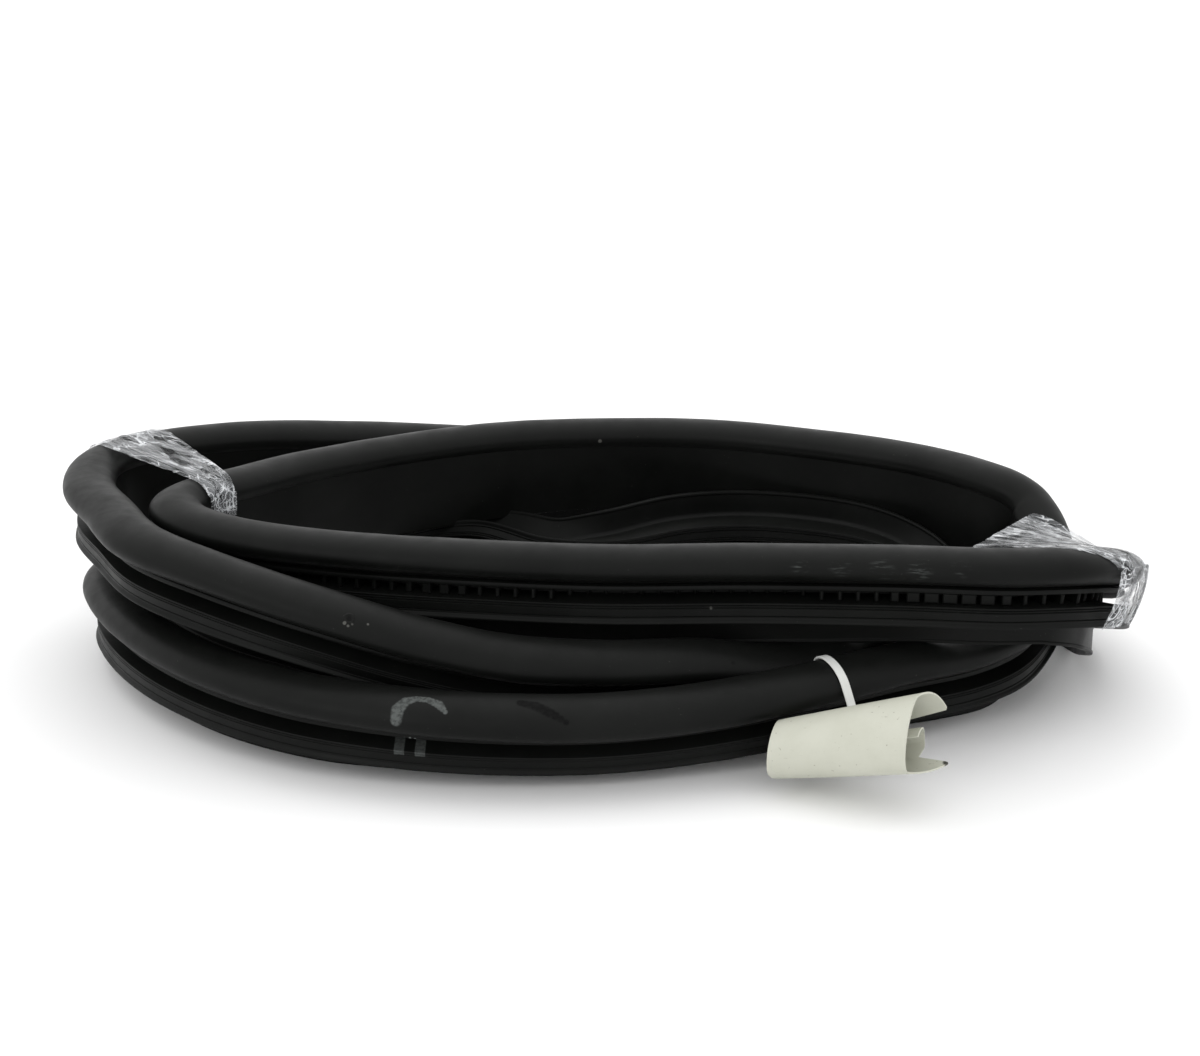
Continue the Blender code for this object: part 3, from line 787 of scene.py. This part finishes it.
def strap(station):
    """Points and faces of the closed strap round a station of the strip."""
    middle, out, up = station
    along = up.cross(out)
    left_edge = left_end + card_spoke(CARD_START_LEFT, card_forward) * CARD_TAPER
    right_edge = right_end + card_spoke(CARD_START_RIGHT, card_forward)
    share = (middle - left_edge).dot(along) / (right_edge - left_edge).dot(along)
    spoke = card_spoke(card_angle(share, 0), card_forward)
    hook = left_end.lerp(right_end, share) + spoke * (CARD_TAPER + (1 - CARD_TAPER) * share) - middle
    hook += spoke.normalized() * (TIE_THICKNESS + PIECE_GAP + TIE_TO_CARD)
    pegs = [tuple(point) for point in section] + [(hook.dot(out), hook.dot(up))]
    path = evenly_round(hull(pegs), STRAP_POINTS)
    for _ in range(3):
        path = [(path[k - 1] + path[k] * 2 + path[(k + 1) % len(path)]) / 4 for k in range(len(path))]
    half, thick, edge = TIE_WIDTH / 2, TIE_THICKNESS, 0.3
    shape = [(-half, edge), (-half + edge, 0), (half - edge, 0), (half, edge)]
    shape += [(half, thick - edge), (half - edge, thick), (-half + edge, thick), (-half, thick - edge)]
    points, faces = [], []
    for k, here in enumerate(path):
        ahead = (path[(k + 1) % len(path)] - path[k - 1]).normalized()
        outward = Vector((ahead.y, -ahead.x))
        for sideways, rise in shape:
            spot = here + outward * (PIECE_GAP + rise)
            points.append(middle + out * spot.x + up * spot.y + along * sideways)
    size = len(shape)
    for k in range(len(path)):
        for s in range(size):
            a, b = k * size + s, k * size + (s + 1) % size
            faces.append((a, b, (b + size) % len(points), (a + size) % len(points)))
    return points, faces


strap_parts = strap(front_station(CARD_LEFT_END + TIE_ALONG_CARD))
tag_strap = make_piece("tag_strap", *strap_parts, "white_nylon", "tag_tie")

# %% [markdown]
# ## Making materials
# Every finish here is mixed from noise in the object's own space, so it stays on the surface from any
# side. A few short helpers keep the node trees readable: one for noise, one that maps a value from one
# range to another, one that puts two values together, one that mixes two colours, one for the dot round
# a point and one for bump.

# %% Node helpers
def new_finish(name):
    """A material with its shader, and the object coordinates to paint it by."""
    finish = bpy.data.materials.new(name)
    finish.use_nodes = True
    tree = finish.node_tree
    place = tree.nodes.new("ShaderNodeTexCoord").outputs["Object"]
    return finish, tree, tree.nodes["Principled BSDF"], place


def grain(tree, place, size_mm, detail=2.0, roughness=0.5, stretch=(1, 1, 1)):
    """Noise with grains of about that size."""
    scaled = tree.nodes.new("ShaderNodeMapping")
    scaled.inputs["Scale"].default_value = stretch
    tree.links.new(place, scaled.inputs["Vector"])
    made = tree.nodes.new("ShaderNodeTexNoise")
    made.inputs["Scale"].default_value = 1000 / size_mm
    made.inputs["Detail"].default_value = detail
    made.inputs["Roughness"].default_value = roughness
    tree.links.new(scaled.outputs["Vector"], made.inputs["Vector"])
    return made.outputs["Fac"]


def fit(tree, value, low, high, new_low, new_high, smooth=False):
    """The value carried from one range to another."""
    made = tree.nodes.new("ShaderNodeMapRange")
    made.interpolation_type = "SMOOTHSTEP" if smooth else "LINEAR"
    for name, number in (("From Min", low), ("From Max", high), ("To Min", new_low), ("To Max", new_high)):
        made.inputs[name].default_value = number
    tree.links.new(value, made.inputs["Value"])
    return made.outputs["Result"]


def both(tree, first, second, operation="MULTIPLY"):
    """Two values put together, by multiplying them unless told otherwise."""
    made = tree.nodes.new("ShaderNodeMath")
    made.operation = operation
    for slot_number, value in enumerate((first, second)):
        if isinstance(value, (int, float)):
            made.inputs[slot_number].default_value = value
        else:
            tree.links.new(value, made.inputs[slot_number])
    return made.outputs[0]


def blend_colour(tree, amount, first, second):
    """The first colour where the amount is 0, and the second where it is 1."""
    made = tree.nodes.new("ShaderNodeMix")
    made.data_type = "RGBA"
    tree.links.new(amount, made.inputs["Factor"])
    for name, colour in (("A", first), ("B", second)):
        socket = [s for s in made.inputs if s.name == name and s.type == "RGBA"][0]
        if isinstance(colour, tuple):
            socket.default_value = (*colour, 1.0)
        else:
            tree.links.new(colour, socket)
    return [s for s in made.outputs if s.type == "RGBA"][0]


def dot_round(tree, place, centre_mm, radius_mm, soft=0.5):
    """1 inside a ball round a point of the coil, falling to 0 at its edge."""
    made = tree.nodes.new("ShaderNodeVectorMath")
    made.operation = "DISTANCE"
    made.inputs[1].default_value = Vector(centre_mm) * MM
    tree.links.new(place, made.inputs[0])
    return fit(tree, made.outputs["Value"], radius_mm * MM * (1 - soft), radius_mm * MM, 1, 0, smooth=True)


def relief(tree, height, depth_mm, strength=1.0, under=None):
    """Bump of a real depth."""
    made = tree.nodes.new("ShaderNodeBump")
    made.inputs["Strength"].default_value = strength
    made.inputs["Distance"].default_value = depth_mm * MM
    tree.links.new(height, made.inputs["Height"])
    if under is not None:
        tree.links.new(under, made.inputs["Normal"])
    return made.outputs["Normal"]


# %% [markdown]
# ## Black rubber
# New door rubber is almost black with a faint green-grey cast and a satin skin. Its upward faces are
# painted greyer, partly by a thin bloom of dust and partly as painted sheen from the light above. Handling
# leaves scuffs, a chalky smear with two square patches below it, a dull smear and a few specks. Painted
# shade darkens two small dents and the hollow of the vent dimple, and a painted highlight lies on the
# crescent below the vent. The marks are dots and small blocks round points of the coil, broken up by
# noise. Each dot is a place in millimetres and a radius.

# %% The rubber's finish
# Faces turned this way are painted greyer: partly dust, partly painted sheen from the light above.
DUST_AND_SHEEN_DIRECTION = Vector((0, 0, 1))
CHALK_ARC = [
    (-74.3, -127.6, 33.2, 2.6), (-73.7, -124.8, 36.5, 3.0), (-71.0, -122.0, 38.4, 2.5),
    (-67.0, -120.9, 39.0, 1.8), (-62.5, -121.5, 38.8, 1.8), (-58.4, -123.8, 38.0, 2.2),
    (-55.6, -126.8, 36.0, 1.3),
]
CHALK_SQUARES = [(-74.6, -117, 17.0), (-66.4, -117, 16.8)]
SQUARE_HALF = (2.0, 9.0, 2.4)
PALE_LINE = [(-77.0, -119.5, 22.2, 0.5), (-70.1, -119.5, 22.1, 0.6), (-64.0, -119.5, 22.0, 0.4)]
DULL_ARC = [
    (-27.1, -123.2, 38.4, 2.2), (-21.7, -124.6, 37.8, 2.8), (-16.0, -127.5, 36.2, 2.6),
    (-9.9, -130.0, 33.4, 1.5),
]
SCUFFS = [(81, -87, 80, 5), (96.6, -89, 80, 6), (112, -91, 80.5, 7), (127, -92, 81, 7), (142.5, -93, 81.6, 5)]
# Painted shade: dark dots in two small dents and in the hollow of the vent dimple.
DENT_AND_VENT_SHADE = [(54.4, -91.6, 44.0, 1.5), (55.6, -92.0, 42.0, 1.3), (-93.5, -104.3, 65.6, 1.5)]
SPECKS = [(2.9, 102.3, 75.4, 1.1), (47.0, -78.3, 59.6, 0.8), (-86.3, -104.4, 63.2, 0.7), (-128, -85, 74, 0.5)]
# Painted highlight: light dots on the crescent below the vent dimple.
VENT_GLINT = [(-95.2, -105.4, 64.0, 0.9), (-93.8, -106.2, 63.2, 1.0), (-92.2, -105.7, 63.7, 0.9)]
DOTS_BETWEEN = 3


def strung(marks):
    """The marks with more put between them, so that they join into a line."""
    line = []
    for first, second in zip(marks, marks[1:]):
        for step in range(DOTS_BETWEEN):
            share = step / DOTS_BETWEEN
            line.append(tuple(a + (b - a) * share for a, b in zip(first, second)))
    return line + [marks[-1]]


def any_dot(tree, place, marks, soft):
    """1 near any of several (x, y, z, radius) marks."""
    whole = None
    for *centre, radius in marks:
        one = dot_round(tree, place, centre, radius, soft)
        whole = one if whole is None else both(tree, whole, one, "MAXIMUM")
    return whole


def in_square(tree, place, centre_mm):
    """1 inside a small block round a point of the coil."""
    apart = tree.nodes.new("ShaderNodeVectorMath")
    apart.operation = "SUBTRACT"
    apart.inputs[1].default_value = Vector(centre_mm) * MM
    tree.links.new(place, apart.inputs[0])
    sides = tree.nodes.new("ShaderNodeSeparateXYZ")
    tree.links.new(apart.outputs["Vector"], sides.inputs["Vector"])
    whole = None
    for side, half in zip(sides.outputs, SQUARE_HALF):
        within = both(tree, side, half * MM, "DIVIDE")
        inside = fit(tree, both(tree, within, within), 0.9, 1.1, 1, 0)
        whole = inside if whole is None else both(tree, whole, inside)
    return whole


def black_rubber():
    finish, tree, shader, place = new_finish("satin_black_rubber")
    cloud = fit(tree, grain(tree, place, 38, 3), 0.35, 0.65, 0, 1)
    colour = blend_colour(tree, cloud, (0.0032, 0.0035, 0.0032), (0.0052, 0.0056, 0.0051))
    facing = tree.nodes.new("ShaderNodeNewGeometry")
    upward = tree.nodes.new("ShaderNodeVectorMath")
    upward.operation = "DOT_PRODUCT"
    upward.inputs[1].default_value = DUST_AND_SHEEN_DIRECTION
    tree.links.new(facing.outputs["Normal"], upward.inputs[0])
    # Upward faces are painted lighter: a bloom of dust, and painted sheen of the overhead light.
    top = fit(tree, upward.outputs["Value"], 0.2, 0.95, 0, 1, smooth=True)
    dust_and_top_sheen = both(tree, top, fit(tree, grain(tree, place, 12, 5, 0.65), 0.3, 0.75, 0.15, 0.5))
    colour = blend_colour(tree, dust_and_top_sheen, colour, (0.010, 0.0106, 0.0098))
    broken = fit(tree, grain(tree, place, 1.6, 4, 0.7), 0.36, 0.56, 0, 1)
    chalk = both(tree, any_dot(tree, place, strung(CHALK_ARC), 0.35), fit(tree, broken, 0, 1, 0.35, 1))
    squares = both(tree, *[in_square(tree, place, centre) for centre in CHALK_SQUARES], "MAXIMUM")
    patch = both(tree, squares, fit(tree, broken, 0, 1, 0.4, 0.75))
    patch = both(tree, patch, any_dot(tree, place, strung(PALE_LINE), 0.3), "MAXIMUM")
    streaks = fit(tree, grain(tree, place, 1.8, 4, 0.65, (0.16, 1, 1.6)), 0.53, 0.66, 0, 0.5)
    scuff = both(tree, any_dot(tree, place, SCUFFS, 0.8), streaks)
    pale = both(tree, both(tree, chalk, patch, "MAXIMUM"), scuff, "MAXIMUM")
    colour = blend_colour(tree, pale, colour, (0.085, 0.092, 0.089))
    flecks = fit(tree, grain(tree, place, 0.9, 1), 0.79, 0.81, 0, 0.4)
    # Light specks, and the painted highlight on the crescent below the vent dimple.
    specks_and_vent_glint = both(tree, any_dot(tree, place, SPECKS + VENT_GLINT, 0.4), flecks, "MAXIMUM")
    colour = blend_colour(tree, both(tree, specks_and_vent_glint, 0.6), colour, (0.12, 0.12, 0.11))
    dull = both(tree, any_dot(tree, place, strung(DULL_ARC), 0.4), fit(tree, broken, 0, 1, 0.6, 1))
    # The dull smear, and painted shade in the dents and the vent's hollow, darken the colour.
    dent_and_vent_shade = any_dot(tree, place, DENT_AND_VENT_SHADE, 0.4)
    colour = blend_colour(tree, both(tree, dull, dent_and_vent_shade, "MAXIMUM"), colour, (0.0015, 0.0015, 0.0015))
    tree.links.new(colour, shader.inputs["Base Color"])
    rough = fit(tree, grain(tree, place, 9, 4, 0.6), 0.3, 0.7, 0.38, 0.50)
    rough = both(tree, rough, both(tree, both(tree, pale, dull, "MAXIMUM"), 0.3), "ADD")
    tree.links.new(rough, shader.inputs["Roughness"])
    shader.inputs["Specular IOR Level"].default_value = 0.1
    fine = relief(tree, grain(tree, place, 0.7, 3, 0.6), 0.03, 0.6)
    soft = relief(tree, grain(tree, place, 16, 2), 0.5, 0.35, fine)
    tree.links.new(soft, shader.inputs["Normal"])
    return finish


rubber_seal.data.materials.append(black_rubber())
print("marks on the rubber:", len(CHALK_ARC + PALE_LINE + DULL_ARC + SCUFFS + DENT_AND_VENT_SHADE + SPECKS + VENT_GLINT))

# %% [markdown]
# ## Clear tape
# The film is see-through where it lies smooth and turns milky where it is creased, because each crease
# scatters the light. The pale crease lines are partly that whitened film and partly painted highlights
# along the folds. Thin lines are drawn where a stretched noise crosses its middle value. Four such
# noises, each turned a little, give folds that fan out along the pull. The gloss stays high.

# %% The tape's finish
ALONG_FOLDS = 6.0


def folds(tree, place, size_mm, turn_degrees):
    """Noise whose grains lie along the pull of the tape."""
    turned = tree.nodes.new("ShaderNodeMapping")
    turned.vector_type = "TEXTURE"
    turned.inputs["Rotation"].default_value = (0, 0, math.radians(turn_degrees))
    turned.inputs["Scale"].default_value = (ALONG_FOLDS, 1, 1)
    tree.links.new(place, turned.inputs["Vector"])
    return grain(tree, turned.outputs["Vector"], size_mm, 0.6, 0.4)


def sharp_lines(tree, noise_value, width):
    """1 on the middle line of a noise and 0 beside it, which draws thin creases."""
    middle = both(tree, noise_value, 0.5, "SUBTRACT")
    return fit(tree, both(tree, middle, middle), 0.0, width * width, 1, 0)


FOLD_LINES = [(9, 0, 0.014), (6, 11, 0.016), (4, -8, 0.018), (2.6, 20, 0.020)]


def clear_film(name, turn_degrees):
    finish, tree, shader, place = new_finish(name)
    creases_and_glints = None
    for size_mm, turn, width in FOLD_LINES:
        lines = sharp_lines(tree, folds(tree, place, size_mm, turn_degrees + turn), width)
        creases_and_glints = lines if creases_and_glints is None else both(tree, creases_and_glints, lines, "MAXIMUM")
    patches = fit(tree, grain(tree, place, 12, 2), 0.38, 0.60, 0.1, 1)
    creases_and_glints = both(tree, creases_and_glints, patches)
    milky = fit(tree, folds(tree, place, 4, turn_degrees), 0.36, 0.64, 0.02, 0.42)
    tree.links.new(both(tree, milky, both(tree, creases_and_glints, 0.55), "ADD"), shader.inputs["Alpha"])
    # Crease lines are painted pale: partly whitened film, partly painted highlights along the folds.
    tint = blend_colour(tree, creases_and_glints, (0.26, 0.27, 0.28), (0.80, 0.82, 0.84))
    tree.links.new(tint, shader.inputs["Base Color"])
    tree.links.new(fit(tree, creases_and_glints, 0, 1, 0.12, 0.34), shader.inputs["Roughness"])
    shader.inputs["Specular IOR Level"].default_value = 0.4
    broad_bumps = relief(tree, folds(tree, place, 4, turn_degrees), 0.9, 0.6)
    bumps = relief(tree, folds(tree, place, 1.8, turn_degrees + 9), 0.3, 0.6, broad_bumps)
    tree.links.new(bumps, shader.inputs["Normal"])
    return finish


LEFT_PULL = 128
RIGHT_PULL = -8
left_film.data.materials.append(clear_film("creased_clear_tape", LEFT_PULL))
right_film.data.materials.append(clear_film("pulled_clear_tape", RIGHT_PULL))
print("sets of fold lines in the tape:", len(FOLD_LINES))

# %% [markdown]
# ## Card and strap
# The card is a warm cream board with faint clouds, fine scratches, a few dark specks and one dark spot
# at its tip. The strap is moulded nylon: plain off-white with a soft sheen, and light goes a little way into
# it.

# %% The card's and the strap's finish
def cream_card():
    finish, tree, shader, place = new_finish("cream_card_board")
    cloud = fit(tree, grain(tree, place, 14, 4, 0.6), 0.3, 0.7, 0, 1)
    colour = blend_colour(tree, cloud, (0.475, 0.48, 0.405), (0.52, 0.525, 0.45))
    specks = fit(tree, grain(tree, place, 1.6, 2), 0.70, 0.76, 0, 0.75)
    scratches = fit(tree, grain(tree, place, 2.4, 3, 0.6, (0.3, 1, 1.6)), 0.68, 0.76, 0, 0.4)
    colour = blend_colour(tree, both(tree, specks, scratches, "MAXIMUM"), colour, (0.25, 0.24, 0.19))
    # A dark spot at the tip of the card.
    dark_tip_spot = dot_round(tree, place, card_tip, 2.6, 0.4)
    colour = blend_colour(tree, dark_tip_spot, colour, (0.045, 0.043, 0.035))
    tree.links.new(colour, shader.inputs["Base Color"])
    tree.links.new(fit(tree, grain(tree, place, 5, 3), 0.3, 0.7, 0.45, 0.62), shader.inputs["Roughness"])
    tree.links.new(relief(tree, grain(tree, place, 0.8, 3, 0.6), 0.04, 0.5), shader.inputs["Normal"])
    return finish


def white_nylon():
    finish, tree, shader, place = new_finish("white_nylon_strap")
    colour = blend_colour(tree, grain(tree, place, 4, 3), (0.60, 0.61, 0.58), (0.68, 0.69, 0.67))
    tree.links.new(colour, shader.inputs["Base Color"])
    tree.links.new(fit(tree, grain(tree, place, 2, 2), 0.3, 0.7, 0.32, 0.46), shader.inputs["Roughness"])
    tree.links.new(relief(tree, grain(tree, place, 0.9, 2), 0.03, 0.5), shader.inputs["Normal"])
    shader.inputs["Subsurface Weight"].default_value = 0.1
    shader.inputs["Subsurface Radius"].default_value = (0.001, 0.001, 0.001)
    return finish


card_tag.data.materials.append(cream_card())
tag_strap.data.materials.append(white_nylon())
print("finishes so far:", [made.name for made in bpy.data.materials if made.users])

# %% [markdown]
# ## Floor
# The coil lies on a plain pale floor that runs past the picture's edges.

# %% The floor
FLOOR_HALF = 9.0
floor_mesh = bpy.data.meshes.new("floor")
floor_corners = [(x * FLOOR_HALF, y * FLOOR_HALF, 0) for x, y in ((-1, -1), (1, -1), (1, 1), (-1, 1))]
floor_mesh.from_pydata(floor_corners, [], [(0, 1, 2, 3)])
floor = bpy.data.objects.new("floor", floor_mesh)
bpy.context.scene.collection.objects.link(floor)
floor_finish, floor_tree, floor_shader, floor_place = new_finish("pale_floor")
floor_cloud = grain(floor_tree, floor_place, 400, 2)
floor_colour = blend_colour(floor_tree, floor_cloud, (0.92, 0.92, 0.92), (0.93, 0.93, 0.93))
floor_tree.links.new(floor_colour, floor_shader.inputs["Base Color"])
floor_shader.inputs["Roughness"].default_value = 0.85
floor_mesh.materials.append(floor_finish)
print("floor, metres across:", 2 * FLOOR_HALF)

# %% [markdown]
# ## Light
# Black rubber shows only what it reflects, so most of the light comes evenly from a white sky. One wide
# soft light hangs overhead and slightly behind, which draws the long pale lines along the bulbs, and a
# weaker one opens the front.

# %% The lights
def soft_light(name, place, aim, size, power):
    """A square soft light at a place, turned to a point."""
    lamp = bpy.data.lights.new(name, "AREA")
    lamp.energy = power
    lamp.size = size
    made = bpy.data.objects.new(name, lamp)
    made.location = place
    made.rotation_euler = (Vector(place) - Vector(aim)).to_track_quat("Z", "Y").to_euler()
    bpy.context.scene.collection.objects.link(made)


soft_light("overhead", (0.0, 0.45, 1.6), (0, 0, 0), 1.6, 3.5)
soft_light("front_left", (-1.2, -1.4, 1.1), (0, 0, 0.04), 0.9, 3)
world = bpy.data.worlds.new("studio")
world.use_nodes = True
world.node_tree.nodes["Background"].inputs["Color"].default_value = (1, 1, 1, 1)
world.node_tree.nodes["Background"].inputs["Strength"].default_value = 1.25
bpy.context.scene.world = world
bpy.context.scene.view_settings.view_transform = "Standard"
print("lights:", len(bpy.data.lights))

# %% [markdown]
# ## Camera
# The camera stands where the photograph's did: low in front, looking down a little. Its place was found
# by laying the outlines of the strands over the photograph's.

# %% The camera
CAMERA_PLACE = Vector((2.906, -821.2, 348.2)) * MM
LOOKS_DOWN = 18.942
LENS = 60.11
eye = bpy.data.cameras.new("camera")
eye.sensor_width = 36.0
eye.lens = LENS
eye.clip_start = 0.01
camera = bpy.data.objects.new("camera", eye)
camera.location = CAMERA_PLACE
camera.rotation_euler = (math.radians(90 - LOOKS_DOWN), 0, 0)
bpy.context.scene.collection.objects.link(camera)
bpy.context.scene.camera = camera
print("camera at", [round(v, 3) for v in CAMERA_PLACE])

# %% [markdown]
# ## Last step
# Every point of the coil was held to the box of the CAD model as the pieces were made. The scene is
# brought up to date.

# %% Bring the scene up to date
bpy.context.view_layer.update()
